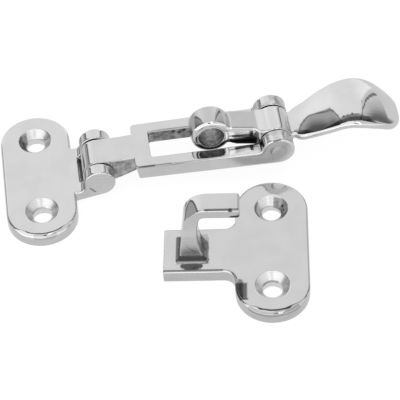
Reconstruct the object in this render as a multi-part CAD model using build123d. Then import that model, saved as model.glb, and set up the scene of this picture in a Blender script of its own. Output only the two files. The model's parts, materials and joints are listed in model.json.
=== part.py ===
"""Over centre toggle latch: hinged base, window arm, cam lever with thumb handle, and hook keeper.

Millimetres, +Z up. The origin is the centre of the base plate's underside, on the surface that
both halves are screwed to. The arm runs along +X, and the keeper stands beside it.
"""
import os
from math import cos, radians, sin, sqrt

from build123d import *

# ---------------------------------------------------------------- driving dimensions
# Screw plates, alike on both halves
plate_t = 4.0            # thickness
screw_gap = 26.4         # between the two screws of a plate
screw_hole_d = 5.2       # clearance for a 5 mm countersunk screw
screw_sink_d = 9.2       # countersink at the face
screw_sink_angle = 90.0
plate_round = 0.8        # polished upper edge
plate_break = 0.3        # lower edge

base_length = 45.0       # along Y
base_width = 19.2        # along X, also the diameter of the round ends

# Hinge of the arm on the base
pin_d = 4.0
pin_play = 0.05          # radial, where a knuckle turns on its pin
side_play = 0.45         # each side, between a knuckle and its lugs or ears
knuckle_r = 4.3          # base lugs and arm knuckle
hinge_reach = 6.8        # from the plate's edge to the pin
hinge_height = 6.35      # pin above the mounting surface
lug_t = 3.65             # each lug, along Y
lug_lift = 0.7           # underside of the lugs above the surface, at the plate's edge
lug_slope = 10.8         # degrees, rise of that underside towards the pin
lug_throat = 1.6         # hollow between the plate's top and a lug
lug_round = 0.45         # polished rim of the lugs
block_play = 1.5         # between the knuckle and the block that joins the lugs
block_round = 0.4        # upper edge of that block

# Arm
arm_length = 48.9        # from pin to pin, along X
lever_pin_rise = 4.15    # lever pin above the base pin
tongue_width = 8.8
tongue_slope = 20.8      # degrees, rise of the tongue's underside
shoulder_reach = 10.1    # from the base pin to the frame
shoulder_rake = 0.85     # how far the shoulder runs back below
frame_t = 4.6            # depth of the rails
frame_width = 16.4       # at the shoulder
shoulder_round = 1.0     # outer corners of the shoulder in plan
bridge_length = 4.55     # solid stretch from the shoulder to the window
window_round = 1.0
ear_r = 4.5
ear_t = 3.95             # each ear, along Y
ear_throat = 1.3         # hollow between a rail's top and its ear
rail_round = 0.4         # polished edges of the frame

# Lever
lever_hub_r = 4.6
lever_hub_width = 8.9
barrel_back = 17.5       # barrel centre behind the lever pin
barrel_rise = 3.25       # and above it
barrel_r = 5.65
barrel_width = 7.24
barrel_bore_r = 3.47
barrel_round = 0.8
shank_width = 7.0        # short arm between the hub and the barrel
shank_depth = 5.6
shank_rise = 0.7         # its middle line above the line through the two centres
shank_flare = 2.0        # hollow where its sides run out to the hub

# Thumb handle of the lever: a crowned blade that follows a curved spine
blade_t = 2.1
blade_crown = 26.0       # radius of its top across the width
blade_start = 1.7        # from the lever pin to the start of the spine, along X
blade_start_rise = 1.55  # top of the spine's start above the lever pin
blade_start_slope = 9.6  # degrees
blade_rise_slope = 26.3  # degrees, steepest part of the rise
blade_hollow_r = 29.3    # hollow between the hub and the rise
blade_rise_run = 6.36    # straight part of the rise
blade_crest_r = 13.5     # bend over the crest
blade_tip_slope = 43.3   # degrees, straight part down to the tip
blade_reach = 34.4       # from the lever pin to the tip, along X
blade_round = 0.75       # rim
# half widths of the blade at distances from the lever pin, with its widest point last
blade_flanks = [(4.3, 4.4), (6.0, 5.4), (8.7, 6.35), (11.7, 7.25), (16.7, 8.3), (21.5, 9.0), (24.6, 9.2)]
# and on round the tip, which is blunter than an ellipse
blade_nose = [(28.9, 8.3), (32.0, 6.55), (33.9, 4.0)]

# Keeper
keeper_length = 45.5     # along its own Y
keeper_width = 19.4
keeper_x = 59.0          # where it stands beside the latch
keeper_y = -36.0
keeper_turn = -8.34      # degrees
foot_reach = 28.5        # from the plate's middle to the end of the foot that carries the hook
foot_width = 14.84
foot_shift = -0.99       # foot and hook off the plate's middle, along Y
foot_corner = 3.0        # hollow corners between the foot and the plate
foot_round = 0.5
hook_width = 6.26
hook_play = 0.4          # hook above the closed barrel
hook_t = 3.05            # depth of the overhang
hook_tip = -8.0          # end of the overhang, from the plate's middle
hook_tip_round = 0.8
hook_crown_r = 6.3       # outer bend over the post
hook_bend_r = 1.5        # inner bend
post_back = -22.8        # outer face of the post under the bend
post_back_foot = -24.4   # and where it meets the foot
post_front = -18.3       # inner face under the bend
post_waist = -19.1       # where it is slimmest
post_waist_z = 10.8
post_front_foot = -17.6
post_sink = 1.0          # root of the post inside the plate
back_flare = 0.75        # hollows round the post's root, on its four sides
front_flare = 2.0
near_flare = 1.7
far_flare = 2.6
hook_round = 0.4

# ---------------------------------------------------------------- places that follow
hinge_x = base_width / 2 + hinge_reach
lever_x = hinge_x + arm_length
lever_z = hinge_height + lever_pin_rise
lug_inner = tongue_width / 2 + side_play
lug_outer = lug_inner + lug_t
ear_inner = lever_hub_width / 2 + side_play
ear_outer = ear_inner + ear_t
frame_top = hinge_height + knuckle_r
shoulder_x = hinge_x + shoulder_reach
window_x = shoulder_x + bridge_length
barrel_x = lever_x - barrel_back
barrel_z = lever_z + barrel_rise
hook_under = barrel_z + barrel_r + hook_play
hook_top = hook_under + hook_t


# ---------------------------------------------------------------- shared forms
def side_face(lines):
    """A closed outline drawn in the side view (X across, Z up)."""
    return Plane.XZ * make_face(lines)


def slab(face, half_width, middle=0.0):
    """A side-view face given its width along Y, the same on both sides of its middle."""
    return Pos(0, middle, 0) * extrude(face, amount=half_width, both=True)


def disc(x, z, radius):
    """A side-view circle."""
    return Plane.XZ * Pos(x, z) * Circle(radius)


def cross_bore(x, z, radius, width):
    """A round bar along Y, for a pin or the hole of one."""
    return slab(disc(x, z, radius), width / 2)


def prism(face, bottom, top):
    """A plan-view face given its height."""
    return Pos(0, 0, bottom) * extrude(face, amount=top - bottom)


def below_tangent(x, z, radius, slope):
    """Where a line that rises by slope degrees touches a circle from below."""
    return (x + radius * sin(radians(slope)), z - radius * cos(radians(slope)))


def screw_holes(plate):
    """Two countersunk holes through a plate that lies on the mounting surface."""
    for y in (-screw_gap / 2, screw_gap / 2):
        plate -= Pos(0, y, plate_t) * CounterSinkHole(
            radius=screw_hole_d / 2,
            counter_sink_radius=screw_sink_d / 2,
            depth=plate_t,
            counter_sink_angle=screw_sink_angle,
        )
    return plate


def rounded_slab(face, bottom, top, upper, lower):
    """A plate with a rounded upper edge and a broken lower edge."""
    plate = prism(face, bottom, top)
    plate = fillet(plate.faces().sort_by(Axis.Z)[-1].outer_wire().edges(), upper)
    return fillet(plate.faces().sort_by(Axis.Z)[0].outer_wire().edges(), lower)


# ---------------------------------------------------------------- base plate with its lugs
def lug_face():
    """Side view of a lug: round about the pin, flat below, hollow where it leaves the plate."""
    inside = base_width / 2 - plate_t / 2
    touch = below_tangent(hinge_x, hinge_height, knuckle_r, lug_slope)
    inside_z = touch[1] - (touch[0] - inside) * sin(radians(lug_slope)) / cos(radians(lug_slope))
    outline = Polyline(
        (inside, inside_z),
        touch,
        (hinge_x, hinge_height),
        (hinge_x - knuckle_r, hinge_height),
        (hinge_x - knuckle_r, plate_t),
        (inside, plate_t),
        close=True,
    )
    face = make_face(outline) + Pos(hinge_x, hinge_height) * Circle(knuckle_r)
    throat = face.vertices().sort_by_distance((hinge_x - knuckle_r, plate_t))[0]
    return Plane.XZ * fillet(throat, lug_throat)


def make_base_plate():
    plan = SlotOverall(base_length, base_width, rotation=90)
    plate = rounded_slab(plan, 0, plate_t, plate_round, plate_break)
    block_x = hinge_x - knuckle_r
    block_back = base_width / 2 - plate_t / 2
    block = slab(side_face(Polyline(
        (block_back, lug_lift),
        (block_x, lug_lift),
        (block_x, plate_t),
        (block_back, plate_t),
        close=True,
    )), lug_outer - lug_round)
    scoop = cross_bore(hinge_x, hinge_height, knuckle_r + block_play, base_length)
    block -= scoop
    lip = block.edges().filter_by(Axis.Y).group_by(Axis.Z)[-1].sort_by(Axis.X)[-1]
    block = fillet(lip, block_round)
    base = plate + block
    for side in (-1, 1):
        lug = slab(lug_face(), lug_t / 2, side * (lug_inner + lug_t / 2))
        outer = lug.faces().sort_by(Axis.Y)[-1 if side > 0 else 0]
        lug = fillet(outer.outer_wire().edges(), lug_round)
        base += lug
    base -= cross_bore(hinge_x, hinge_height, pin_d / 2, base_length)
    return screw_holes(base)


# ---------------------------------------------------------------- arm
def make_arm_frame():
    tongue_touch = below_tangent(hinge_x, hinge_height, knuckle_r, tongue_slope)
    frame_bottom = frame_top - frame_t
    tongue_end = tongue_touch[0] + (frame_bottom - tongue_touch[1]) / (
        sin(radians(tongue_slope)) / cos(radians(tongue_slope)))
    tongue = make_face(Polyline(
        (hinge_x, hinge_height),
        tongue_touch,
        (tongue_end, frame_bottom),
        (tongue_end, frame_top),
        (hinge_x, frame_top),
        close=True,
    )) + Pos(hinge_x, hinge_height) * Circle(knuckle_r)
    tongue = slab(Plane.XZ * tongue, tongue_width / 2)

    ear_cut = lever_x - sqrt(ear_r ** 2 - (frame_top - lever_z) ** 2)
    rails = make_face(Polyline(
        (shoulder_x, frame_top),
        (ear_cut, frame_top),
        (lever_x, lever_z),
        (lever_x, lever_z - ear_r),
        (shoulder_x + shoulder_rake, frame_bottom),
        close=True,
    )) + Pos(lever_x, lever_z) * Circle(ear_r)
    throat = rails.vertices().sort_by_distance((ear_cut, frame_top))[0]
    rails = Plane.XZ * fillet(throat, ear_throat)
    far_end = lever_x + ear_r + 1
    taper = (ear_outer - frame_width / 2) / (lever_x - shoulder_x)
    far_half = ear_outer + taper * (far_end - lever_x)
    plan = make_face(Polyline(
        (shoulder_x, frame_width / 2),
        (far_end, far_half),
        (far_end, -far_half),
        (shoulder_x, -frame_width / 2),
        close=True,
    ))
    plan = fillet(plan.vertices().group_by(Axis.X)[0], shoulder_round)
    frame = slab(rails, 2 * ear_outer) & prism(plan, 0, lever_z + ear_r + 1)
    for side in (0, -1):
        outer = frame.faces().filter_by(GeomType.PLANE).sort_by(Axis.Y)[side]
        upper = outer.edges().filter_by(GeomType.LINE).sort_by(Axis.Z)[-1]
        lower = outer.edges().filter_by(GeomType.LINE).sort_by(Axis.Z)[0]
        frame = fillet([upper, lower], rail_round)

    window_end = far_end + 1
    window = Pos((window_x + window_end) / 2, 0) * Rectangle(window_end - window_x, 2 * ear_inner)
    window = fillet(window.vertices().group_by(Axis.X)[0], window_round)
    arm = frame + tongue - prism(window, 0, lever_z + ear_r + 1)
    arm -= cross_bore(hinge_x, hinge_height, pin_d / 2 + pin_play, base_length)
    arm -= cross_bore(lever_x, lever_z, pin_d / 2, base_length)
    return arm


# ---------------------------------------------------------------- lever
def blade_spine():
    """Centre line of the blade's top, from inside the hub to past the tip."""
    slope = radians(blade_start_slope)
    start = (lever_x + blade_start, lever_z + blade_start_rise)
    hollow = JernArc(start, (cos(slope), sin(slope)), blade_hollow_r, blade_rise_slope - blade_start_slope)
    rise = radians(blade_rise_slope)
    top = hollow @ 1 + Vector(cos(rise), sin(rise)) * blade_rise_run
    crest = JernArc(top, (cos(rise), sin(rise)), blade_crest_r, -(blade_rise_slope + blade_tip_slope))
    fall = radians(blade_tip_slope)
    run = (lever_x + blade_reach + blade_t - (crest @ 1).X) / cos(fall)
    tip = crest @ 1 + Vector(cos(fall), -sin(fall)) * run
    return Plane.XZ * (hollow + Line(hollow @ 1, top) + crest + Line(crest @ 1, tip))


def make_blade():
    spine = blade_spine()
    half = max(width for _, width in blade_flanks) + blade_t
    drop = blade_crown - sqrt(blade_crown ** 2 - half ** 2)
    section = make_face(
        ThreePointArc((-half, -drop), (0, 0), (half, -drop))
        + Line((half, -drop), (half, -drop - blade_t))
        + ThreePointArc((half, -drop - blade_t), (0, -blade_t), (-half, -drop - blade_t))
        + Line((-half, -drop - blade_t), (-half, -drop))
    )
    slope = radians(blade_start_slope)
    start = Plane(origin=spine @ 0, x_dir=(0, 1, 0), z_dir=(cos(slope), 0, sin(slope)))
    sheet = sweep(start * section, path=spine, transition=Transition.RIGHT)

    flank = [(lever_x + reach, width) for reach, width in blade_flanks]
    nose = [(lever_x + reach, width) for reach, width in blade_nose]
    neck = (lever_x + blade_start, flank[0][1])
    tip = (lever_x + blade_reach, 0)
    rim = (
        Line(neck, flank[0])
        + Spline(*flank, tangents=((1, 0), (1, 0)))
        + Spline(flank[-1], *nose, tip, tangents=((1, 0), (0, -1)))
    )
    plan = make_face(rim + mirror(rim, about=Plane.XZ) + Line(neck, (neck[0], -neck[1])))
    blade = sheet & prism(plan, 0, lever_z + blade_reach)
    wall = blade.faces().filter_by(GeomType.EXTRUSION)
    rims = [edge for edge in wall.edges() if edge.geom_type != GeomType.LINE]
    return fillet(rims, blade_round)


def make_cam_lever():
    blade = make_blade()
    slope = barrel_rise / barrel_back
    along = sqrt(1 + slope ** 2)
    up = shank_rise + shank_depth * along / 2
    down = shank_rise - shank_depth * along / 2
    shank_side = make_face(Polyline(
        (barrel_x, barrel_z + up),
        (barrel_x, barrel_z + down),
        (lever_x, lever_z + down),
        (lever_x, lever_z + up),
        close=True,
    )) + Pos(lever_x, lever_z) * Circle(lever_hub_r)
    step = (lever_hub_width - shank_width) / 2
    flare_run = sqrt(shank_flare ** 2 - (shank_flare - step) ** 2)
    hub_x = lever_x - lever_hub_r
    half = shank_width / 2
    far_end = lever_x + lever_hub_r + 1
    flare = RadiusArc((hub_x - flare_run, half), (hub_x, lever_hub_width / 2), -shank_flare)
    edge = Line((barrel_x, half), flare @ 0) + flare + Line(flare @ 1, (far_end, lever_hub_width / 2))
    plan = make_face(
        edge
        + Line((far_end, lever_hub_width / 2), (far_end, -lever_hub_width / 2))
        + mirror(edge, about=Plane.XZ)
        + Line((barrel_x, -half), (barrel_x, half))
    )
    shank = slab(Plane.XZ * shank_side, lever_hub_width) & prism(plan, 0, lever_z + barrel_rise + barrel_r)

    barrel = cross_bore(barrel_x, barrel_z, barrel_r, barrel_width)
    barrel = fillet(barrel.edges().filter_by(GeomType.CIRCLE), barrel_round)
    lever = shank + barrel + blade
    lever -= cross_bore(barrel_x, barrel_z, barrel_bore_r, base_length)
    lever -= cross_bore(lever_x, lever_z, pin_d / 2 + pin_play, base_length)
    return lever


# ---------------------------------------------------------------- keeper
def hook_face():
    """Side view of the hook: post, outer and inner bends and the overhang."""
    crown_x = post_back + hook_crown_r
    crown_z = hook_top - hook_crown_r
    back = Line((post_back_foot, plate_t), (post_back, crown_z))
    crown = ThreePointArc(
        (post_back, crown_z),
        (crown_x - hook_crown_r * cos(radians(45)), crown_z + hook_crown_r * sin(radians(45))),
        (crown_x, hook_top),
    )
    tip = Polyline((crown_x, hook_top), (hook_tip, hook_top), (hook_tip, hook_under), (post_front, hook_under))
    waist = ThreePointArc((post_front, hook_under), (post_waist, post_waist_z), (post_front_foot, plate_t))
    floor = Line((post_front_foot, plate_t), (post_back_foot, plate_t))
    face = make_face(back + crown + tip + waist + floor)
    corners = [face.vertices().sort_by_distance((hook_tip, z))[0] for z in (hook_top, hook_under)]
    face = fillet(corners, hook_tip_round)
    return fillet(face.vertices().sort_by_distance((post_front, hook_under))[0], hook_bend_r)


def flared(column, foot, flares):
    """A column's outline on a strip, with a hollow of its own radius in each corner."""
    face = column + foot
    for corner, radius in flares:
        face = fillet(face.vertices().sort_by_distance(corner)[0], radius)
    return face


def make_post_root():
    """The flared root of the post, hollow on all four sides."""
    near_y = foot_shift - hook_width / 2
    far_y = foot_shift + hook_width / 2
    reach = max(back_flare, front_flare, near_flare, far_flare)
    root_top = plate_t + 2 * reach
    cap = Pos((post_back + post_front) / 2, (plate_t + root_top) / 2) * Rectangle(
        2 * foot_reach, root_top - plate_t)
    strip_z = plate_t - post_sink / 2
    side = flared(
        hook_face() & cap,
        Pos((post_back_foot + post_front_foot) / 2, strip_z) * Rectangle(
            post_front_foot - post_back_foot + 2 * reach, post_sink),
        (((post_back_foot, plate_t), back_flare), ((post_front_foot, plate_t), front_flare)),
    )
    front = flared(
        Pos(foot_shift, (plate_t + root_top) / 2) * Rectangle(hook_width, root_top - plate_t),
        Pos(foot_shift, strip_z) * Rectangle(hook_width + 2 * reach, post_sink),
        (((near_y, plate_t), near_flare), ((far_y, plate_t), far_flare)),
    )
    across = extrude(Plane.YZ * front, amount=foot_reach, both=True)
    return slab(Plane.XZ * side, keeper_width) & across


def make_hook_keeper():
    plan = SlotOverall(keeper_length, keeper_width, rotation=90)
    foot = Pos(-foot_reach / 2, foot_shift) * Rectangle(foot_reach, foot_width)
    plan += foot
    corners = []
    for side in (-1, 1):
        corner = (-keeper_width / 2, foot_shift + side * foot_width / 2)
        corners.append(plan.vertices().sort_by_distance(corner)[0])
    plan = fillet(corners, foot_corner)
    keeper = rounded_slab(plan, 0, plate_t, foot_round, plate_break)
    hook = slab(Plane.XZ * hook_face(), hook_width / 2, foot_shift)
    for side in (0, -1):
        face = hook.faces().sort_by(Axis.Y)[side]
        rim = face.edges().filter_by(lambda edge: edge.bounding_box().max.Z > plate_t + foot_round)
        hook = fillet(rim, hook_round)
    keeper += hook
    keeper += make_post_root()
    keeper = screw_holes(keeper)
    return Pos(keeper_x, keeper_y, 0) * Rot(0, 0, keeper_turn) * keeper


# ---------------------------------------------------------------- pins
def make_base_pin():
    return cross_bore(hinge_x, hinge_height, pin_d / 2, 2 * lug_outer)


def make_lever_pin():
    return cross_bore(lever_x, lever_z, pin_d / 2, 2 * ear_outer)


# ---------------------------------------------------------------- files
pieces = {
    "base_plate": make_base_plate,
    "base_pin": make_base_pin,
    "arm_frame": make_arm_frame,
    "lever_pin": make_lever_pin,
    "cam_lever": make_cam_lever,
    "hook_keeper": make_hook_keeper,
}

os.makedirs("parts", exist_ok=True)
for name, make in pieces.items():
    export_step(make(), f"parts/{name}.step")
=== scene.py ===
"""Over centre toggle latch in mirror-polished cast steel, laid out with its keeper on a pale studio floor."""
import json
import math

import bmesh
import bpy
from bpy.props import FloatProperty, FloatVectorProperty, IntProperty, PointerProperty
from mathutils import Matrix, Quaternion, Vector


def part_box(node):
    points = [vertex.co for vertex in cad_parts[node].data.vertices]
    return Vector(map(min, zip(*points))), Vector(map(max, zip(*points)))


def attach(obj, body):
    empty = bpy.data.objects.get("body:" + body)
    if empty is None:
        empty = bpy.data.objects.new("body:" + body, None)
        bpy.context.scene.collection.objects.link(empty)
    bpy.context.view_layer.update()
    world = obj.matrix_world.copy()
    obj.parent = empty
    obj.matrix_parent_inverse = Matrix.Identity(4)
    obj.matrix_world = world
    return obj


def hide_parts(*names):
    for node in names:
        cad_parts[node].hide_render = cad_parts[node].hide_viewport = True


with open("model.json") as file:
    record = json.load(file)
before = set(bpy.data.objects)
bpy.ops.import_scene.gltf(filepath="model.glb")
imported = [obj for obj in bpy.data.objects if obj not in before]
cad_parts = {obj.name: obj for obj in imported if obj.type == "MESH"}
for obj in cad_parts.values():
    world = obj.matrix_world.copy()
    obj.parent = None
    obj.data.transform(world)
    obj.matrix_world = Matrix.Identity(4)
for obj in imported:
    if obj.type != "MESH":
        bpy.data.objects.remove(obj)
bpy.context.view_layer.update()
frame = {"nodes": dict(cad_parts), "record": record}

bl_info = {
    "name": "Over centre toggle latch",
    "version": (1, 0, 0),
    "blender": (4, 5, 0),
    "location": "View3D > Sidebar > Latch",
    "description": "Polished castings and pins of an over centre latch, with its studio",
    "category": "Object",
}

MM = 0.001


# ---------------------------------------------------------------- shader expressions
class Wire:
    """A socket of a shader tree. Arithmetic on it adds the nodes that work it out."""

    def __init__(self, tree, socket):
        self.tree = tree
        self.socket = socket

    def math(self, operation, first, *others):
        node = self.tree.nodes.new("ShaderNodeMath")
        node.operation = operation
        for socket, item in zip(node.inputs, (first, *others)):
            feed(self.tree, socket, item)
        return Wire(self.tree, node.outputs[0])

    def __add__(self, other):
        return self.math("ADD", self, other)

    def __radd__(self, other):
        return self.math("ADD", other, self)

    def __sub__(self, other):
        return self.math("SUBTRACT", self, other)

    def __rsub__(self, other):
        return self.math("SUBTRACT", other, self)

    def __mul__(self, other):
        return self.math("MULTIPLY", self, other)

    def __rmul__(self, other):
        return self.math("MULTIPLY", other, self)

    def __abs__(self):
        return self.math("ABSOLUTE", self)

    def lowest(self, other):
        return self.math("MINIMUM", self, other)

    def highest(self, other):
        return self.math("MAXIMUM", self, other)

    def rise(self, low, high):
        """0 below low, 1 above high, and a smooth rise between. High may be the lower number."""
        node = self.tree.nodes.new("ShaderNodeMapRange")
        node.interpolation_type = "SMOOTHSTEP"
        start, end, first, last = (low, high, 0.0, 1.0) if low < high else (high, low, 1.0, 0.0)
        for name, item in (("Value", self), ("From Min", start), ("From Max", end),
                           ("To Min", first), ("To Max", last)):
            feed(self.tree, node.inputs[name], item)
        return Wire(self.tree, node.outputs["Result"])


def feed(tree, socket, item):
    """Links a wire to a socket, or sets the socket to a plain value."""
    if isinstance(item, Wire):
        tree.links.new(item.socket, socket)
    else:
        socket.default_value = item


class Shader:
    """A material's or the world's node tree, with one way to add any node."""

    def __init__(self, owner):
        owner.use_nodes = True
        self.tree = owner.node_tree
        self.tree.nodes.clear()

    def add(self, kind, out, settings=(), **sockets):
        """Adds a node, sets its settings first and then its sockets, and gives the named output."""
        node = self.tree.nodes.new(kind)
        for name, item in dict(settings).items():
            setattr(node, name, item)
        for name, item in sockets.items():
            feed(self.tree, node.inputs[name.replace("_", " ")], item)
        return Wire(self.tree, node.outputs[out])

    def mix(self, factor, first, second):
        """Goes from the first colour to the second as the factor goes from 0 to 1."""
        node = self.tree.nodes.new("ShaderNodeMix")
        node.data_type = "RGBA"
        for socket, item in ((node.inputs[0], factor), (node.inputs[6], first), (node.inputs[7], second)):
            feed(self.tree, socket, item)
        return Wire(self.tree, node.outputs[2])

    def split(self, vector):
        """The X, Y and Z of a vector."""
        node = self.tree.nodes.new("ShaderNodeSeparateXYZ")
        feed(self.tree, node.inputs[0], vector)
        return [Wire(self.tree, socket) for socket in node.outputs]

    def noise(self, place, size, detail=2.0, roughness=0.5):
        """Cloudy noise about 0.5, with lumps of the given size in metres."""
        return self.add("ShaderNodeTexNoise", "Fac", Vector=place, Scale=1 / size, Detail=detail,
                        Roughness=roughness)

    def stretched(self, place, stretch):
        """A place scaled along each axis, so that noise on it runs long where the number is low."""
        node = self.tree.nodes.new("ShaderNodeVectorMath")
        node.operation = "MULTIPLY"
        feed(self.tree, node.inputs[0], place)
        node.inputs[1].default_value = stretch
        return Wire(self.tree, node.outputs["Vector"])

    def blend(self, factor, first, second):
        """Goes from the first surface to the second as the factor goes from 0 to 1."""
        node = self.tree.nodes.new("ShaderNodeMixShader")
        for socket, item in zip(node.inputs, (factor, first, second)):
            feed(self.tree, socket, item)
        return Wire(self.tree, node.outputs[0])

    def mark(self, name):
        """A mark from 0 to 1 that the mesh carries on its points."""
        return self.add("ShaderNodeAttribute", "Fac", {"attribute_name": name})

    def finish(self, surface, kind="ShaderNodeOutputMaterial"):
        """Links the surface to the output."""
        node = self.tree.nodes.new(kind)
        feed(self.tree, node.inputs["Surface"], surface)


# ---------------------------------------------------------------- what a user would change
class LatchFinish(bpy.types.PropertyGroup):
    """Colours and finish of the castings and pins."""

    steel: FloatVectorProperty(
        name="Polished steel", description="Colour of the steel where it is polished",
        subtype="COLOR", size=3, min=0, max=1, default=(0.62, 0.62, 0.62))
    cast: FloatVectorProperty(
        name="Cast skin", description="Colour of the skin that no polishing wheel reaches",
        subtype="COLOR", size=3, min=0, max=1, default=(0.4, 0.4, 0.4))
    sink: FloatVectorProperty(
        name="Turned sinks", description="Colour of the freshly turned screw sinks",
        subtype="COLOR", size=3, min=0, max=1, default=(0.78, 0.78, 0.78))
    # The dark colour below is also painted shade in hollows and between parts, and painted dark reflections
    # along edges
    soot_and_painted_shade: FloatVectorProperty(
        name="Soot", description="Colour of the polishing soot left in gaps and scratches",
        subtype="COLOR", size=3, min=0, max=1, default=(0.03, 0.03, 0.03))
    gloss: FloatProperty(
        name="Polished roughness", description="Roughness where the steel is polished",
        min=0, max=1, default=0.06, subtype="FACTOR")
    brushed: FloatProperty(
        name="Brushed roughness", description="Roughness of the edges, which keep the marks of the belt",
        min=0, max=1, default=0.2, subtype="FACTOR")
    turned: FloatProperty(
        name="Turned roughness", description="Roughness of the turned screw sinks",
        min=0, max=1, default=0.3, subtype="FACTOR")
    dull: FloatProperty(
        name="Cast roughness", description="Roughness of the cast skin",
        min=0, max=1, default=0.45, subtype="FACTOR")


class LatchMesh(bpy.types.PropertyGroup):
    """How finely the castings are meshed and how far polishing has rounded their edges."""

    cell: FloatProperty(
        name="Cell", description="Edge length of the mesh on the castings",
        min=0.0001, max=0.002, default=0.0002, subtype="DISTANCE", unit="LENGTH")
    passes: IntProperty(
        name="Rounding passes", description="Smoothing passes that round the edges", min=0, max=60, default=6)
    soft_passes: IntProperty(
        name="Soft passes", description="Further passes where the wheel has worn the edges round",
        min=0, max=200, default=45)
    pin_head: FloatProperty(
        name="Pin head", description="Depth to which a pin's end is one with the casting",
        min=0.0002, max=0.003, default=0.001, subtype="DISTANCE", unit="LENGTH")
    fade: FloatProperty(
        name="Fade", description="How softly one finish runs into the next",
        min=0.00001, max=0.005, default=0.0004, subtype="DISTANCE", unit="LENGTH")
    sink_reach: FloatProperty(
        name="Sink reach", description="Radius of the turned finish round a screw hole",
        min=0.001, max=0.02, default=0.0047, subtype="DISTANCE", unit="LENGTH")


class LatchStudio(bpy.types.PropertyGroup):
    """Camera, floor and light."""

    elevation: FloatProperty(
        name="Elevation", description="Height of the camera above the floor, as an angle",
        min=0, max=math.pi / 2, default=math.radians(48.0), subtype="ANGLE")
    azimuth: FloatProperty(
        name="Azimuth", description="How far the camera stands to the left of the latch's near side",
        min=-math.pi, max=math.pi, default=math.radians(4.78), subtype="ANGLE")
    roll: FloatProperty(
        name="Roll", description="Turn of the camera about its own axis",
        min=-math.pi, max=math.pi, default=math.radians(3.81), subtype="ANGLE")
    distance: FloatProperty(
        name="Distance", description="From the camera to the point that it looks at",
        min=0.1, max=5, default=0.4954, subtype="DISTANCE", unit="LENGTH")
    target: FloatVectorProperty(
        name="Target", description="The point on the floor that the camera looks at",
        subtype="TRANSLATION", unit="LENGTH", size=3, default=(0.04279, -0.01316, 0.0))
    lens: FloatProperty(
        name="Lens", description="Focal length on a 36 mm sensor, in millimetres", min=20, max=400,
        default=163.9)
    floor: FloatVectorProperty(
        name="Floor", description="Colour of the floor", subtype="COLOR", size=3, min=0, max=1,
        default=(0.9, 0.9, 0.9))


# ---------------------------------------------------------------- finishes
def polished_steel(name, finish, tint=1.0):
    """Mirror-polished cast steel with brushed edges, turned sinks and dull cast skin in the hollows."""
    # tint makes each part a lighter or darker copy of the one steel: painted light and shade, set to how
    # bright the part shows
    steel = [channel * tint for channel in finish.steel]
    material = bpy.data.materials.new(name)
    shader = Shader(material)
    place = shader.add("ShaderNodeTexCoord", "Object")
    facing = shader.split(shader.add("ShaderNodeTexCoord", "Normal"))[2]
    upright = (1 - abs(facing).rise(0.35, 0.6)) * shader.mark("belted")
    blotch = shader.noise(place, 2.2 * MM, 3.0)
    skin = (shader.mark("cast_skin") + (blotch - 0.5) * 0.5).rise(0.35, 0.65)
    sink = shader.mark("turned")
    # this mark holds sooty marks, and also painted shade and painted dark reflections
    stain_and_painted_shade = shader.mark("stained_and_shaded")
    rings = shader.add("ShaderNodeTexNoise", "Fac", {"noise_dimensions": "1D"},
                       W=shader.mark("ring_radius"), Scale=1 / (0.16 * MM), Detail=3.0, Roughness=0.6)

    grain = shader.noise(place, 0.3 * MM, 4.0, 0.6)
    mottle = shader.noise(place, 1.4 * MM, 3.0, 0.6)
    haze = shader.noise(place, 6 * MM, 2.0)
    belt = shader.noise(shader.stretched(place, (0.25, 0.25, 6.0)), 1.2 * MM, 4.0, 0.6)

    dark = tuple(channel * 0.4 for channel in finish.cast) + (1.0,)
    cast = shader.mix(mottle.rise(0.3, 0.72), dark, (*finish.cast, 1.0))
    hazy = tuple(channel * 0.96 for channel in steel) + (1.0,)
    bright = shader.mix(haze.rise(0.35, 0.65), hazy, (*steel, 1.0))
    streak = tuple(channel * 0.84 for channel in steel) + (1.0,)
    bright = shader.mix(upright * belt.rise(0.42, 0.7), bright, streak)
    dim = tuple(channel * 0.8 for channel in finish.sink) + (1.0,)
    # the turned sinks' lighter colour; where the satin zones raise this mark, the lighter colour is painted
    # light
    bright = shader.mix(sink, bright, shader.mix(rings.rise(0.4, 0.7), (*finish.sink, 1.0), dim))
    # the dark colour goes over all the rest, as sooty marks and as painted shade and painted dark reflections
    colour = shader.mix(stain_and_painted_shade, shader.mix(skin, bright, cast), (*finish.soot_and_painted_shade, 1.0))

    polish = finish.gloss + (haze - 0.5) * 0.03
    polish = polish + upright * (finish.brushed - finish.gloss + (belt - 0.5) * 0.1)
    polish = polish + sink * (finish.turned - polish)
    roughness = polish + skin * (finish.dull + (grain - 0.5) * 0.2 - polish)

    waves = shader.noise(place, 9 * MM, 1.0)
    height = waves * 0.008 + upright * belt * 0.004 + sink * rings * 0.01
    height = height + skin * (grain * 0.03 + mottle * 0.05)
    bump = shader.add("ShaderNodeBump", "Normal", Height=height, Distance=MM, Strength=1.0)
    surface = shader.add("ShaderNodeBsdfPrincipled", "BSDF", Base_Color=colour, Metallic=1.0,
                         Roughness=roughness, Normal=bump)
    shader.finish(surface)
    return material


# ---------------------------------------------------------------- meshes
# Millimetres
SCRATCH_FADE = 0.2       # how softly a scratch ends
SCRATCH_STRETCH = 9      # no stretch of a scratch runs further than this along X
SINK_FADE = 0.1          # how softly the turned finish round a screw hole ends
NO_SINK = 1000.0         # radius where a casting has no screw holes


def inside(point, low, high, fade):
    """1 well inside a box, 0 well outside it."""
    out = max(max(a - p, p - b) for p, a, b in zip(point, low, high))
    return min(1.0, max(0.0, 0.5 - out / fade))


def along(point, start, end, radius):
    """1 on the straight stretch of a scratch from start to end, 0 beyond its radius."""
    start, end = Vector(start), Vector(end)
    share = min(1.0, max(0.0, (point - start).dot(end - start) / (end - start).length_squared))
    away = (point - start.lerp(end, share)).length
    return min(1.0, max(0.0, (radius - away) / SCRATCH_FADE))


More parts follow.
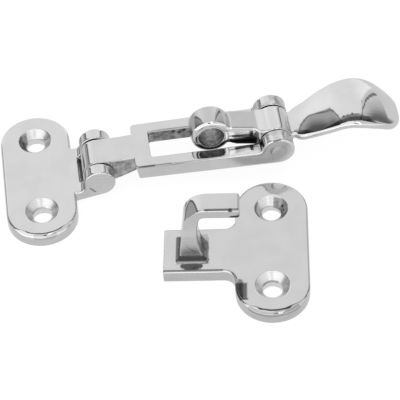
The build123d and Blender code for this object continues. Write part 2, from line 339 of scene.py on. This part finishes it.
def zoned(points, zones, fade):
    """The strongest share that any zone gives each point."""
    return [max([share * inside(point, low, high, fade) for share, low, high in zones], default=0.0)
            for point in points]


def marked(mesh, name, values):
    """Stores one number on each point of a mesh."""
    layer = mesh.attributes.new(name, "FLOAT", "POINT")
    layer.data.foreach_set("value", values)


def pin_heads(pin, depth):
    """The two ends of a pin as closed discs, which polishing has made one with the casting."""
    low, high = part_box(pin)
    heads = bmesh.new()
    for y in (low[1] + depth / 2, high[1] - depth / 2):
        place = Matrix.Translation(((low[0] + high[0]) / 2, y, (low[2] + high[2]) / 2))
        bmesh.ops.create_cone(
            heads, cap_ends=True, segments=96, radius1=(high[2] - low[2]) / 2, radius2=(high[2] - low[2]) / 2,
            depth=depth, matrix=place @ Matrix.Rotation(math.pi / 2, 4, "X"))
    return heads


def rounded_copy(node, piece_name, mesh_size, passes, place, soft_zones, pin):
    """A casting remeshed and smoothed, so that its edges are as round as polishing leaves them."""
    piece = bpy.data.objects.new(piece_name, frame["nodes"][node].data.copy())
    bpy.context.scene.collection.objects.link(piece)
    piece.data.materials.clear()
    if pin:
        heads = pin_heads(pin, mesh_size.pin_head)
        heads.from_mesh(piece.data)
        heads.to_mesh(piece.data)
        heads.free()
    remesh = piece.modifiers.new("Cells", "REMESH")
    remesh.mode = "VOXEL"
    remesh.voxel_size = mesh_size.cell
    remesh.use_smooth_shade = True
    apply_modifiers(piece)

    soften = piece.modifiers.new("Rounding", "SMOOTH")
    soften.factor = 0.5
    soften.iterations = passes
    if soft_zones:
        worn = piece.vertex_groups.new(name="worn")
        weights = zoned(own_points(piece.data, place), soft_zones, 2 * mesh_size.fade / MM)
        for index, weight in enumerate(weights):
            if weight > 0:
                worn.add([index], weight, "REPLACE")
        wear = piece.modifiers.new("Wear", "SMOOTH")
        wear.factor = 0.5
        wear.iterations = mesh_size.soft_passes
        wear.vertex_group = worn.name
    apply_modifiers(piece)
    return piece


def own_points(mesh, place):
    """A mesh's points in the casting's own frame, in millimetres."""
    back = Matrix.Scale(1 / MM, 4) @ place.inverted()
    return [back @ vertex.co for vertex in mesh.vertices]


def apply_modifiers(piece):
    """Puts a piece's modifiers into its mesh."""
    graph = bpy.context.evaluated_depsgraph_get()
    done = bpy.data.meshes.new_from_object(piece.evaluated_get(graph))
    piece.modifiers.clear()
    piece.data = done


def soot_and_shade_marks(points, stains_and_shade, scratches_and_painted_lines, fade):
    """How dark each point is made, from its casting's zones and lines: sooty marks, and painted shade and
    painted dark reflections.
    """
    soot_and_painted_shade = zoned(points, stains_and_shade, fade)
    for share, radius, bends in scratches_and_painted_lines:
        for start, end in zip(bends, bends[1:]):
            for index, point in enumerate(points):
                if abs(point.x - start[0]) < SCRATCH_STRETCH and soot_and_painted_shade[index] < share:
                    soot_and_painted_shade[index] = max(soot_and_painted_shade[index], share * along(point, start, end, radius))
    return soot_and_painted_shade


def polished_copy(node, piece_name, body, mesh_size, material, passes=0, place=Matrix(), wear=None,
                  soft_zones=(), cast_zones=(), belted=(), sinks=(), satin_and_painted_light=(), stains_and_shade=(), scratches_and_painted_lines=(),
                  pin=None):
    """A polished casting in the place of its solid, with its finishes marked on it.

    Zones are (share, low corner, high corner) and scratch lines (share, radius, points on it), in
    millimetres in the casting's own frame. Soft zones are worn rounder than the rest, cast ones
    keep their dull skin, belted ones show the marks of the belt on their sides, and satin ones
    are as dull as the turned sinks and take their lighter colour, which is painted light. The
    dark zones and lines hold soot, and also painted shade in hollows and between parts and
    painted dark reflections along edges.
    """
    piece = rounded_copy(node, piece_name, mesh_size, passes or mesh_size.passes, place, soft_zones, pin)
    mesh = piece.data
    mesh.materials.append(material)
    points = own_points(mesh, place)
    fade = mesh_size.fade / MM
    marked(mesh, "cast_skin", zoned(points, cast_zones, fade))
    marked(mesh, "belted", zoned(points, belted, fade))
    marked(mesh, "stained_and_shaded", soot_and_shade_marks(points, stains_and_shade, scratches_and_painted_lines, fade))
    radii = [min([math.hypot(point.x - x, point.y - y) for x, y in sinks], default=NO_SINK)
             for point in points]
    sink_reach = mesh_size.sink_reach / MM
    # screw sinks and satin zones share this mark; in the satin zones its lighter colour is painted light
    marked(mesh, "turned", [
        max(share, min(1.0, 0.5 + (sink_reach - radius) / SINK_FADE))
        for share, radius in zip(zoned(points, satin_and_painted_light, 10 * fade), radii)])
    marked(mesh, "ring_radius", [radius * MM for radius in radii])
    if wear:
        forward = place @ Matrix.Scale(MM, 4)
        for vertex, point in zip(mesh.vertices, points):
            vertex.co = forward @ wear(point)

    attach(piece, body)
    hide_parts(node)
    return piece


def turned_pin(node, mesh_size):
    """The shank of a pin between its two ground heads, with chamfered ends."""
    low, high = [Vector(corner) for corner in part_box(node)]
    length = high.y - low.y - 2 * mesh_size.pin_head
    shank = bmesh.new()
    place = Matrix.Translation((low + high) / 2) @ Matrix.Rotation(math.pi / 2, 4, "X")
    radius = (high.z - low.z) / 2
    bmesh.ops.create_cone(shank, cap_ends=True, segments=96, radius1=radius, radius2=radius,
                          depth=length, matrix=place)
    rims = [edge for edge in shank.edges if len(edge.link_faces) == 2 and edge.calc_face_angle() > 1]
    bmesh.ops.bevel(shank, geom=rims, offset=radius / 8, segments=3, profile=0.5, affect="EDGES")
    for face in shank.faces:
        face.smooth = True
    mesh = bpy.data.meshes.new("turned_" + node)
    shank.to_mesh(mesh)
    shank.free()
    pin = bpy.data.objects.new("turned_" + node, mesh)
    bpy.context.scene.collection.objects.link(pin)
    return pin


# ---------------------------------------------------------------- wear of the castings
# Millimetres, with the keeper in its own frame and the rest in the latch's
EVERYWHERE = ((-200, -200, -50), (200, 200, 50))
PLATE = 4.0                              # thickness of both plates
BASE_END, BASE_ROUND = 12.9, 9.6         # middle and radius of the base plate's round ends
KEEPER_END, KEEPER_ROUND = 13.05, 9.7    # and of the keeper's
KEEPER_TURN = -8.34                      # degrees
KEEPER_PLACE = (Matrix.Translation((59 * MM, -36 * MM, 0))
                @ Matrix.Rotation(math.radians(KEEPER_TURN), 4, "Z"))
SCREW_Y = next(mount["dims"]["spacing_y_mm"] for mount in frame["record"]["mounts"]
               if mount["name"] == "base_screws") / 2
SINKS = [(0, -SCREW_Y), (0, SCREW_Y)]    # middles of a plate's two screw holes

BARREL_X, BARREL_Z = 47.8, 13.75         # middle of the lever's barrel
BARREL_HALF = 3.62                       # half of its width
HUB_X = 65.3                             # middle of the lever's hub

BEND_X, BEND_Z, BEND_ROUND = -16.5, 16.55, 6.3     # middle and radius of the hook's outer bend
FACET_TURN = 42                          # degrees from the top of the bend to its facet
FACET_FACING = Vector((-0.6667, -0.0872, 0.7404))
FACET_OUT = 6.189                        # from the middle of the bend to the facet


def ramp(value, low, high):
    """0 at low, 1 at high, and a straight run between. High may be the lower number."""
    return min(1.0, max(0.0, (value - low) / (high - low)))


def eased(value, low, high):
    """As a ramp, but soft at both ends."""
    share = ramp(value, low, high)
    return share * share * (3 - 2 * share)


def leaned_rim(point, centre_y, outer, turn, facets):
    """A point of a plate, lowered where the wheel has leaned over the rim of its near end.

    The turn is the plate's own, in degrees. A facet is its width, its slope towards the front,
    and the four angles between which it widens from nothing, stays and narrows again.
    """
    out = point.y + centre_y
    radius = math.hypot(point.x, out)
    if out > 0 or radius < outer - 2 or point.z > PLATE + 0.1:
        return point
    angle = math.degrees(math.atan2(out, point.x))
    lean = max(0.45, -math.sin(math.radians(angle + turn)))
    uneven = 0.04 * math.sin(math.radians(7 * angle)) + 0.02 * math.sin(math.radians(17 * angle))
    drop = 0.0
    for width, slope, begin, full, ebb, end in facets:
        width = (width + uneven) * eased(angle, begin, full) * eased(angle, end, ebb)
        drop += max(0.0, radius - (outer - width)) * slope / lean
    return Vector((point.x, point.y, point.z * (1 - drop / PLATE)))


def worn_base(point):
    """Wear of the base plate: three narrow facets round its near end."""
    return leaned_rim(point, BASE_END, BASE_ROUND, 0, [
        (1.4, 0.262, -155, -120, -60, -22),
        (0.8, 0.2, -155, -120, -60, -22),
        (0.48, 0.45, -126, -108, -70, -48)])


def worn_arm(point):
    """Wear of the arm: the knuckle ground to the near side."""
    return Vector((point.x, point.y - 0.22 * ramp(point.x, 26, 23), point.z))


def worn_lever(point):
    """Wear of the lever, from the barrel to the blade.

    The barrel is crowned, the shank's lower edge is drawn down, the hub is ground to the near
    side, and the blade is crowned beside the hub.
    """
    x, y, z = point
    off, up = x - BARREL_X, z - BARREL_Z
    radius = math.hypot(off, up)
    if radius > 4 and radius < 6.5 and x < 53.4:
        keep = 1 - (0.3 * (y / BARREL_HALF) ** 2 + 0.26 * max(0.0, abs(y) - 2.85)) / radius
        off, up = off * keep, up * keep
    x, z = BARREL_X + off, BARREL_Z + up
    reach = x - HUB_X
    y -= 0.2 * ramp(reach, -5.5, -4.7) * ramp(reach, 5.5, 4.7)
    z -= 0.1 * (math.hypot(y, 1) - 1) * eased(reach, 14, 7.5) * eased(reach, 3.2, 6)
    z -= 0.7 * ramp(z, 12.5, 10.5) * ramp(x, 52, 54.5) * ramp(x, 61.5, 60)
    return Vector((x, y, z))


def worn_keeper(point):
    """Wear of the keeper, from its near end up to the hook.

    The near end has two facets, the post's foot is chamfered, the foot's near edge and the
    overhang's near edge are bevelled, and the bend carries a facet.
    """
    point = leaned_rim(point, KEEPER_END, KEEPER_ROUND, KEEPER_TURN, [
        (1.6, 0.235, -150, -112, -62, -20),
        (1.1, 0.033, -150, -112, -62, -20)])
    x, y, z = point
    lean, rise = -4.12 - y, z - PLATE
    leg = 1.3 * ramp(x, -25.3, -24.7) * ramp(x, -16.3, -17.3)
    if rise > -0.05 and lean > -0.05 and 0 < leg - lean - rise < 1:
        push = (leg - lean - rise) / 2
        y, z = y - push, z + push
    z -= 0.265 * min(0.6, max(0.0, -7.8 - y)) * ramp(z, 3.4, 3.9) * ramp(z, 4.5, 4.1) * ramp(x, -12.7, -14)
    z -= 0.265 * max(0.0, -3.3 - y) * ramp(z, 21.8, 22.4) * ramp(x, -18, -16)
    above = (Vector((x, y, z)) - Vector((BEND_X, 0, BEND_Z))).dot(FACET_FACING) - FACET_OUT
    return Vector((x, y, z)) - FACET_FACING * max(0.0, above)


# ---------------------------------------------------------------- lines that sooty marks, painted shade and painted dark reflections follow
def arc(centre_y, radius, start, end, height):
    """Points round a centre on the plate's middle line, from one bearing in degrees to another."""
    bearings = [math.radians(start + (end - start) * step / 5) for step in range(6)]
    return [(radius * math.cos(bearing), centre_y + radius * math.sin(bearing), height)
            for bearing in bearings]


def sink_rim(centre_y, start, end):
    """A line just inside the rim of a screw sink."""
    return arc(centre_y, 4.3, start, end, 3.7)


def sink_throat(centre_y, start, end):
    """A line where a screw sink meets its hole."""
    return arc(centre_y, 2.75, start, end, 2.15)


def bend_point(turn):
    """A point on the outline of the facet on the hook's bend, by its bearing from the facet's middle."""
    angle = math.radians(FACET_TURN + turn)
    # where the bend's round, cut by the leaning facet, is as far out as the facet
    y = (6.276 * math.cos(math.radians(turn)) - FACET_OUT) / -FACET_FACING.y
    return (BEND_X - BEND_ROUND * math.sin(angle), y, BEND_Z + BEND_ROUND * math.cos(angle))


# ---------------------------------------------------------------- operators
class MakeBasePlate(bpy.types.Operator):
    """Base plate with its two hinge lugs"""

    bl_idname = "latch.make_base_plate"
    bl_label = "Base plate"
    bl_options = {"REGISTER", "UNDO"}

    def execute(self, context):
        scene = context.scene
        # a slightly lighter copy of the steel, painted light
        material = polished_steel("base_plate_steel", scene.latch_finish, tint=1.03)
        polished_copy(
            "base_plate", "polished_base_plate", "root", scene.latch_mesh, material, wear=worn_base,
            belted=[(1.0, *EVERYWHERE)],
            cast_zones=[
                (1, (9.7, -4.8, -0.5), (15, 4.8, 3.6)),                         # between the lugs
                (1, (-10, -23, -0.5), (24, 23, 0.15)),                          # underside
                (0.62, (-4.7, 9, 1.2), (-2, 17, 3.9)),                          # far sink, left
            ],
            # painted shade: the hollow between the lugs, under the hub, darkened as if shaded
            stains_and_shade=[
                (0.9, (9.9, -2.6, -0.5), (12.4, 4.8, 3.3)),                     # between the lugs
                (0.55, (9.9, -4.8, -0.5), (12.4, -2.6, 3.3)),
            ],
            scratches_and_painted_lines=[
                (0.75, 0.3, [(13.67, -8.5, 5.15), (14.9, -8.5, 3.6)]),          # side of the near lug
                # painted dark reflection along the rounded rim of the near end, and a soft painted shade
                # beside it
                (0.88, 0.33, arc(-BASE_END, 9.5, -110, -68, PLATE)),            # rim of the near end
                (0.3, 0.9, arc(-BASE_END, 9.3, -104, -74, PLATE)),
                (0.6, 0.42, sink_rim(SCREW_Y, 150, 268)),                       # far sink
                (0.55, 0.6, arc(SCREW_Y, 3.3, 170, 235, 2.7)),
                # painted shadow where the near sink meets its hole, whose far wall is in shade
                (0.4, 0.36, sink_throat(-SCREW_Y, 75, 160)),                    # near sink
            ],
            sinks=SINKS, pin="base_pin")
        return {"FINISHED"}


class MakeArmFrame(bpy.types.Operator):
    """Arm with its window and fork ears"""

    bl_idname = "latch.make_arm_frame"
    bl_label = "Arm frame"
    bl_options = {"REGISTER", "UNDO"}

    def execute(self, context):
        scene = context.scene
        material = polished_steel("arm_frame_steel", scene.latch_finish)
        window_nicks = [(0.8, 0.6, [(x, 4.9, z), (x + 0.1, 4.9, z)])
                        for x, z in ((38.2, 9.3), (39.8, 8.8), (41.2, 9.4))]
        polished_copy(
            "arm_frame", "polished_arm_frame", "arm", scene.latch_mesh, material, passes=3, wear=worn_arm,
            belted=[(0.4, *EVERYWHERE)],
            cast_zones=[
                (1, (30.6, -5.3, 5.5), (61.5, 5.3, 9.9)),                       # walls of the window
                (0.55, (20.2, -5.0, 0), (26.9, -4.0, 10.3)),                    # sides of the tongue
                (1, (20.2, 4.0, 0), (26.9, 5.0, 10.3)),
                (1, (61, -5.05, 5), (71, 5.05, 12)),                            # between the ears
                (0.42, (58, 4.7, 10.8), (74, 9.3, 18)),                         # far ear
                (0.42, (60.5, -8.4, 11.2), (74, -4.7, 18)),                     # near ear, but its side
            ],
            stains_and_shade=[
                # painted shade on the window's inner walls, dark enough that the shank and barrel mirror them
                # dark
                (0.85, (33, -5.4, 5.0), (64, -4.4, 10.2)),                      # near wall of the window
                (0.5, (46, 4.4, 5.0), (61, 5.4, 10.2)),                         # far wall
            ],
            scratches_and_painted_lines=[
                (0.9, 0.3, [(64.0, -8.7, 14.65), (64.9, -8.8, 14.8), (65.9, -8.6, 14.85)]),    # near ear
                *window_nicks,
                # painted dark reflection along the tongue's near top edge
                (0.8, 0.25, [(26.4, -4.6, 9.8), (24, -4.6, 10.2), (21.5, -4.6, 10.4)]),        # tongue
                # painted reflection of the shank's dark near side in the rail's top
                (0.9, 0.55, [(54.2, -5.8, 10.65), (61.4, -4.9, 10.65)]),        # rail beside the shank
                # painted dark reflection along the near top edge of the shoulder and on along the rail
                (0.85, 0.4, [(26.6, -8.15, 10.6), (31.5, -8.15, 10.6)]),        # shoulder and on
                (0.45, 0.36, [(31.5, -8.15, 10.6), (36, -8.15, 10.6)]),
            ],
            # satin finish, whose lighter colour is painted light that brightens the near side towards the ear
            satin_and_painted_light=[
                (0.3, (42, -9.3, 0), (47, -8.3, 18)),                           # near side, towards the ear
                (0.6, (47, -9.3, 0), (52, -8.3, 18)),
                (1, (52, -9.3, 0), (75, -8.3, 18)),
            ],
            pin="lever_pin")
        return {"FINISHED"}


class MakeCamLever(bpy.types.Operator):
    """Cam lever with its barrel and thumb handle"""

    bl_idname = "latch.make_cam_lever"
    bl_label = "Cam lever"
    bl_options = {"REGISTER", "UNDO"}

    def execute(self, context):
        scene = context.scene
        # a lighter copy of the steel, painted light on the lever and its blade
        material = polished_steel("cam_lever_steel", scene.latch_finish, tint=1.05)
        polished_copy(
            "cam_lever", "polished_cam_lever", "lever", scene.latch_mesh, material, wear=worn_lever,
            soft_zones=[
                (0.2, (41, -5, 13.5), (54, 5, 21)),                             # upper half of the barrel
                (1.0, (53, -5, 7), (62.5, 5, 21)),                              # shank
            ],
            cast_zones=[(1, (44.2, -3.1, 10.1), (51.4, 3.1, 17.4))],            # bore of the barrel
            stains_and_shade=[
                # painted dark reflection on the near sides of the shank and the lower barrel, where they
                # mirror the window's shaded inner wall
                (0.93, (53, -4.2, 8), (61.5, -3.1, 12.2)),                      # near side of the shank
                (0.75, (41.5, -4.0, 7.5), (53.2, -3.2, 11.7)),                  # and of the barrel, below
                # painted shade, darker towards the back of the barrel
                (0.5, (41, -2.7, 11), (43.0, 3.8, 18)),                         # back of the barrel
                (0.4, (41, -2.7, 11), (43.9, 3.8, 19)),
                (0.3, (41, -2.7, 11), (44.9, 3.8, 20)),
                (0.2, (41, -2.7, 11), (54, 3.8, 21)),
                (0.3, (53.6, -3.3, 14.2), (60.6, 3.9, 21)),                     # top of the shank
            ],
            scratches_and_painted_lines=[
                # painted dark reflection along the shank's near top edge
                (0.8, 0.36, [(53.2, -3.5, 13.3), (61, -3.5, 13.1)]),            # near edge of the shank
                (0.8, 0.32, [(83.5, -5.7, 17.85), (83.55, -5.9, 17.85)]),       # nicks in the blade's rim
                (0.7, 0.28, [(84.6, -5.7, 18.05), (84.65, -5.9, 18.05)]),
                (0.85, 0.34, [(85.9, -5.5, 18.2), (85.95, -5.7, 18.2)]),
                (0.4, 0.22, [(89.3, -1.3, 18.6), (89.1, -2.4, 18.55)]),         # crest of the blade
            ])
        return {"FINISHED"}


class MakeHookKeeper(bpy.types.Operator):
    """Keeper with its hook"""

    bl_idname = "latch.make_hook_keeper"
    bl_label = "Hook keeper"
    bl_options = {"REGISTER", "UNDO"}

    def execute(self, context):
        scene = context.scene
        # a darker copy of the steel, painted shade over the whole keeper
        material = polished_steel("hook_keeper_steel", scene.latch_finish, tint=0.955)
        post_lines = [
            (0.6, 0.3, [(-20.8, -4.12, 7.7), (-19.9, -4.12, 6.9)]),             # near side
            (0.3, 0.25, [(-22.3, -4.12, 9.4), (-20.8, -4.12, 7.7)]),
            # painted dark reflection of the post in the foot in front of it
            (0.8, 1.3, [(-21.9, -6.8, 4.0), (-20.2, -6.8, 4.0)]),               # foot in front of it
            (0.8, 0.85, [(-23.3, -6.45, 4.0), (-18.8, -6.45, 4.0)]),
            # painted dark reflection at the post's back root, on the foot beside it
            (0.8, 0.6, [(-24.85, -4.6, 4.3), (-24.85, 3.2, 4.3)]),              # root at the back
            # painted dark reflection along the foot's rounded near edge
            (0.75, 0.36, [(-28.2, -7.95, 4.0), (-20.6, -7.95, 4.0), (-13.0, -7.95, 4.0)]),     # foot's edge
        ]
        hook_lines = [
            # painted dark reflection along the overhang's near upper edge, going on past the nick
            (0.85, 0.35, [(-16.9, -3.7, 22.85), (-10.9, -3.7, 22.85)]),         # near upper edge
            (0.95, 0.6, [(-10.5, -3.8, 22.85), (-10.3, -3.8, 22.85)]),
            (0.7, 0.33, [(-9.8, -3.7, 22.85), (-8.2, -3.7, 22.85)]),
            (0.95, 0.7, [(-10.1, -4.1, 20.2), (-8.5, -4.1, 20.4)]),             # near lower edge
            (0.9, 0.3, [bend_point(turn) for turn in (-21.7, -19, -15, -8, 0, 8, 15, 19, 21.7)]),
        ]
        plate_lines = [
            # painted dark reflection and painted shade along the rounded rim of the near end
            (0.33, 0.85, arc(-KEEPER_END, 9.75, -128, -48, 3.7)),               # rim of the near end
            (0.6, 0.42, sink_rim(SCREW_Y, 150, 262)),                           # far sink
            (0.65, 0.36, sink_throat(SCREW_Y, 185, 240)),
            (0.7, 0.36, sink_throat(SCREW_Y, -50, 10)),
            # painted shadow where the near sink meets its hole
            (0.6, 0.36, sink_throat(-SCREW_Y, 60, 150)),                        # near sink
            (0.8, 0.25, [(4.3, 12.6, 3.9), (4.1, 14.6, 3.9), (3.0, 16.3, 3.9), (1.0, 17.4, 3.9)]),
            (0.85, 0.5, [(2.9, 14.9, 2.9), (3.0, 15.0, 2.9)]),                  # spots in the far sink
            (0.8, 0.4, [(3.3, 13.6, 2.6), (3.3, 13.8, 2.6)]),
            (0.7, 0.35, [(1.6, 16.2, 3.1), (1.7, 16.2, 3.1)]),
        ]
        polished_copy(
            "hook_keeper", "polished_hook_keeper", "root", scene.latch_mesh, material, place=KEEPER_PLACE,
            wear=worn_keeper,
            belted=[
                (1, (-40, -30, -1), (20, 30, 3.9)),                             # rims of the plate and foot
                (2, (-25, -4.6, 5.4), (-16, -3.9, 13)),                         # near side of the post
            ],
            soft_zones=[(0.15, (-23.5, -5.5, 17), (-14, 5, 24))],               # bend of the hook
            cast_zones=[
                (0.8, (-18.7, -4.0, 4.05), (-15.2, 2.1, 9.5)),                  # front of the post
                (0.55, (0.4, 10, 1.2), (4.8, 18, 3.9)),                         # far sink, right
                (0.5, (-4.9, 10.5, 1.2), (-3.2, 15.5, 3.9)),                    # and left
            ],
            stains_and_shade=[
                (0.8, (-9.9, -17.5, 3.4), (-6.6, -12.4, 4.3)),                  # rim left of the near sink
                (0.95, (-8.6, -18.0, 3.4), (-6.4, -17.4, 4.3)),
                # painted shade in the corner where the post's near side meets the foot
                (0.97, (-25, -5.8, 4.1), (-16.6, -3.9, 5.5)),                   # near root of the post
            ],
            scratches_and_painted_lines=post_lines + hook_lines + plate_lines,
            # the satin zone at the end of this call also lightens the post's near side with painted light
            sinks=SINKS, satin_and_painted_light=[(0.7, (-26, -4.8, 5.4), (-15, -3.9, 15))])      # near side of the post
        return {"FINISHED"}


class MakePins(bpy.types.Operator):
    """The two hinge pins, ground flush with the castings"""

    bl_idname = "latch.make_pins"
    bl_label = "Hinge pins"
    bl_options = {"REGISTER", "UNDO"}

    def execute(self, context):
        scene = context.scene
        material = polished_steel("pin_steel", scene.latch_finish)
        for node, body in (("base_pin", "root"), ("lever_pin", "arm")):
            pin = turned_pin(node, scene.latch_mesh)
            pin.data.materials.append(material)
            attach(pin, body)
            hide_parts(node)
        return {"FINISHED"}


class MakeStudio(bpy.types.Operator):
    """Pale floor, light tent and camera"""

    bl_idname = "latch.make_studio"
    bl_label = "Studio"
    bl_options = {"REGISTER", "UNDO"}

    def execute(self, context):
        studio = context.scene.latch_studio
        make_floor(studio)
        make_tent(context.scene)
        make_camera(context.scene, studio)
        context.scene.view_settings.view_transform = "Standard"
        return {"FINISHED"}


def make_floor(studio):
    """A wide pale floor that shows white to the camera and in the steel, and keeps a soft shadow."""
    half = 3.0
    mesh = bpy.data.meshes.new("floor")
    corners = [(-half, -half, 0), (half, -half, 0), (half, half, 0), (-half, half, 0)]
    mesh.from_pydata(corners, [], [(0, 1, 2, 3)])
    floor = bpy.data.objects.new("floor", mesh)
    floor.location = (0, 0, -0.02 * MM)
    bpy.context.scene.collection.objects.link(floor)

    material = bpy.data.materials.new("pale_floor")
    shader = Shader(material)
    lit = shader.add("ShaderNodeBsdfDiffuse", "BSDF", Color=(*studio.floor, 1.0))
    seen = shader.add("ShaderNodeLightPath", "Is Camera Ray")
    mirrored = shader.add("ShaderNodeLightPath", "Is Glossy Ray")
    # just over white to the camera and under it in the steel, while other light finds plain paint
    glow = seen * 1.06 + mirrored * 0.86
    white = shader.add("ShaderNodeEmission", "Emission", Color=(1, 1, 1, 1), Strength=glow)
    share = (seen + mirrored).lowest(1.0) * 0.85
    both = shader.blend(share, lit, white)
    shader.finish(both)
    mesh.materials.append(material)


def make_tent(scene):
    """The light tent: a white cove behind, grey side panels, a dark gap overhead and a bright front.

    Everything in it is placed by direction, in degrees. Azimuth runs from straight behind to the
    right, and over from straight behind, over the top, to the front.
    """
    world = bpy.data.worlds.new("light_tent")
    scene.world = world
    shader = Shader(world)
    x, y, z = shader.split(shader.add("ShaderNodeTexCoord", "Generated"))
    degrees = 180 / math.pi
    azimuth = x.math("ARCTAN2", x, y) * degrees
    elevation = z.math("ARCSINE", z) * degrees
    over = z.math("ARCTAN2", z, y) * degrees
    # the side panels lean outwards, and more so higher up
    high = (elevation - 38).highest(0.0)
    higher = (elevation - 54).highest(0.0)

    # white cove behind, a little brighter towards its ends and its foot
    cove = 1.06 + 0.14 * abs(azimuth).rise(10.0, 32.0) * elevation.rise(62.0, 20.0)

    # right panel: a seam, then grey that darkens away from the cove, then a light wall
    right = azimuth - high * 0.3 - higher * 0.5
    panel = 0.84 - 0.16 * right.rise(42.0, 53.0) - 0.5 * right.rise(51.0, 69.0)
    panel = panel + (0.84 - panel) * azimuth.rise(71.0, 76.0)
    seam = right.rise(37.5, 39.5) * right.rise(42.5, 41.0)
    panel = panel * (1 - 0.72 * seam)
    level = cove + (panel - cove) * right.rise(33.0, 35.0)

    # left panel: darker, with its own seam
    left = 0 - azimuth - high * 0.5 - higher * 0.8
    panel = 0.52 - 0.39 * left.rise(46.0, 66.0)
    panel = panel + (0.6 - panel) * left.rise(70.0, 80.0)
    seam = left.rise(40.0, 41.5) * left.rise(44.5, 43.0)
    panel = panel * (1 - 0.6 * seam)
    level = level + (panel - level) * left.rise(39.0, 42.0)

    # gap between the cove and the overhead light
    level = level * (1 - 0.7 * over.rise(70.5, 73.0)) * (1 - 0.65 * over.rise(73.5, 78.0))
    # foot of both panels, where they stand off the floor
    foot = elevation.rise(4.5, 2.5) * abs(azimuth).rise(34.0, 36.0)
    level = level + (0.88 - level) * foot

    # overhead light, brighter to the left and low at the front, with a bright window to the right
    # and the dark of the room round the camera
    edge = over - 12 * x.rise(-0.46, -0.52)
    front = 0.9 + 0.4 * x.rise(0.06, 0.0)
    front = front + 0.5 * over.rise(138.0, 152.0)
    facing = over.rise(117.0, 122.0) * over.rise(147.0, 141.0)
    window = over.rise(84.0, 90.0) * over.rise(147.0, 141.0) * x.rise(0.08, 0.085) * x.rise(0.24, 0.2)
    front = front + (2.1 - front) * window
    room = facing * x.rise(-0.12, -0.09) * x.rise(0.081, 0.076)
    front = front * (1 - 0.9 * room)
    level = level + (front - level) * edge.rise(80.3, 81.7)

    seen = shader.add("ShaderNodeLightPath", "Is Camera Ray")
    level = level * (1 - seen) + seen
    shader.finish(shader.add("ShaderNodeBackground", "Background", Color=(1, 1, 1, 1), Strength=level),
                  "ShaderNodeOutputWorld")


def make_camera(scene, studio):
    """The camera, aimed at its target and rolled about its own axis."""
    data = bpy.data.cameras.new("camera")
    data.sensor_width = 36.0
    data.lens = studio.lens
    data.clip_start = 0.01
    data.clip_end = 20.0
    camera = bpy.data.objects.new("camera", data)
    scene.collection.objects.link(camera)
    flat = math.cos(studio.elevation)
    back = Vector((
        -math.sin(studio.azimuth) * flat,
        -math.cos(studio.azimuth) * flat,
        math.sin(studio.elevation),
    ))
    camera.location = Vector(studio.target) + back * studio.distance
    camera.rotation_mode = "QUATERNION"
    level = (-back).to_track_quat("-Z", "Y")
    camera.rotation_quaternion = level @ Quaternion((0, 0, 1), -studio.roll)
    scene.camera = camera


class LatchPanel(bpy.types.Panel):
    """Lists what makes the latch"""

    bl_idname = "VIEW3D_PT_latch"
    bl_label = "Over centre latch"
    bl_space_type = "VIEW_3D"
    bl_region_type = "UI"
    bl_category = "Latch"

    def draw(self, context):
        layout = self.layout
        for operator in OPERATORS:
            layout.operator(operator.bl_idname)
        for group in (context.scene.latch_finish, context.scene.latch_mesh, context.scene.latch_studio):
            box = layout.box()
            for name in group.__annotations__:
                box.prop(group, name)


OPERATORS = (MakeBasePlate, MakeArmFrame, MakeCamLever, MakeHookKeeper, MakePins, MakeStudio)
GROUPS = {"latch_finish": LatchFinish, "latch_mesh": LatchMesh, "latch_studio": LatchStudio}


def register():
    for cls in (*GROUPS.values(), *OPERATORS, LatchPanel):
        bpy.utils.register_class(cls)
    for name, cls in GROUPS.items():
        setattr(bpy.types.Scene, name, PointerProperty(type=cls))


def unregister():
    for name in GROUPS:
        delattr(bpy.types.Scene, name)
    for cls in (LatchPanel, *reversed(OPERATORS), *reversed(tuple(GROUPS.values()))):
        bpy.utils.unregister_class(cls)


def main():
    """Makes every piece and the stage."""
    register()
    for operator in OPERATORS:
        space, name = operator.bl_idname.split(".")
        getattr(getattr(bpy.ops, space), name)()
    bpy.context.view_layer.update()


if __name__ == "__main__":
    main()
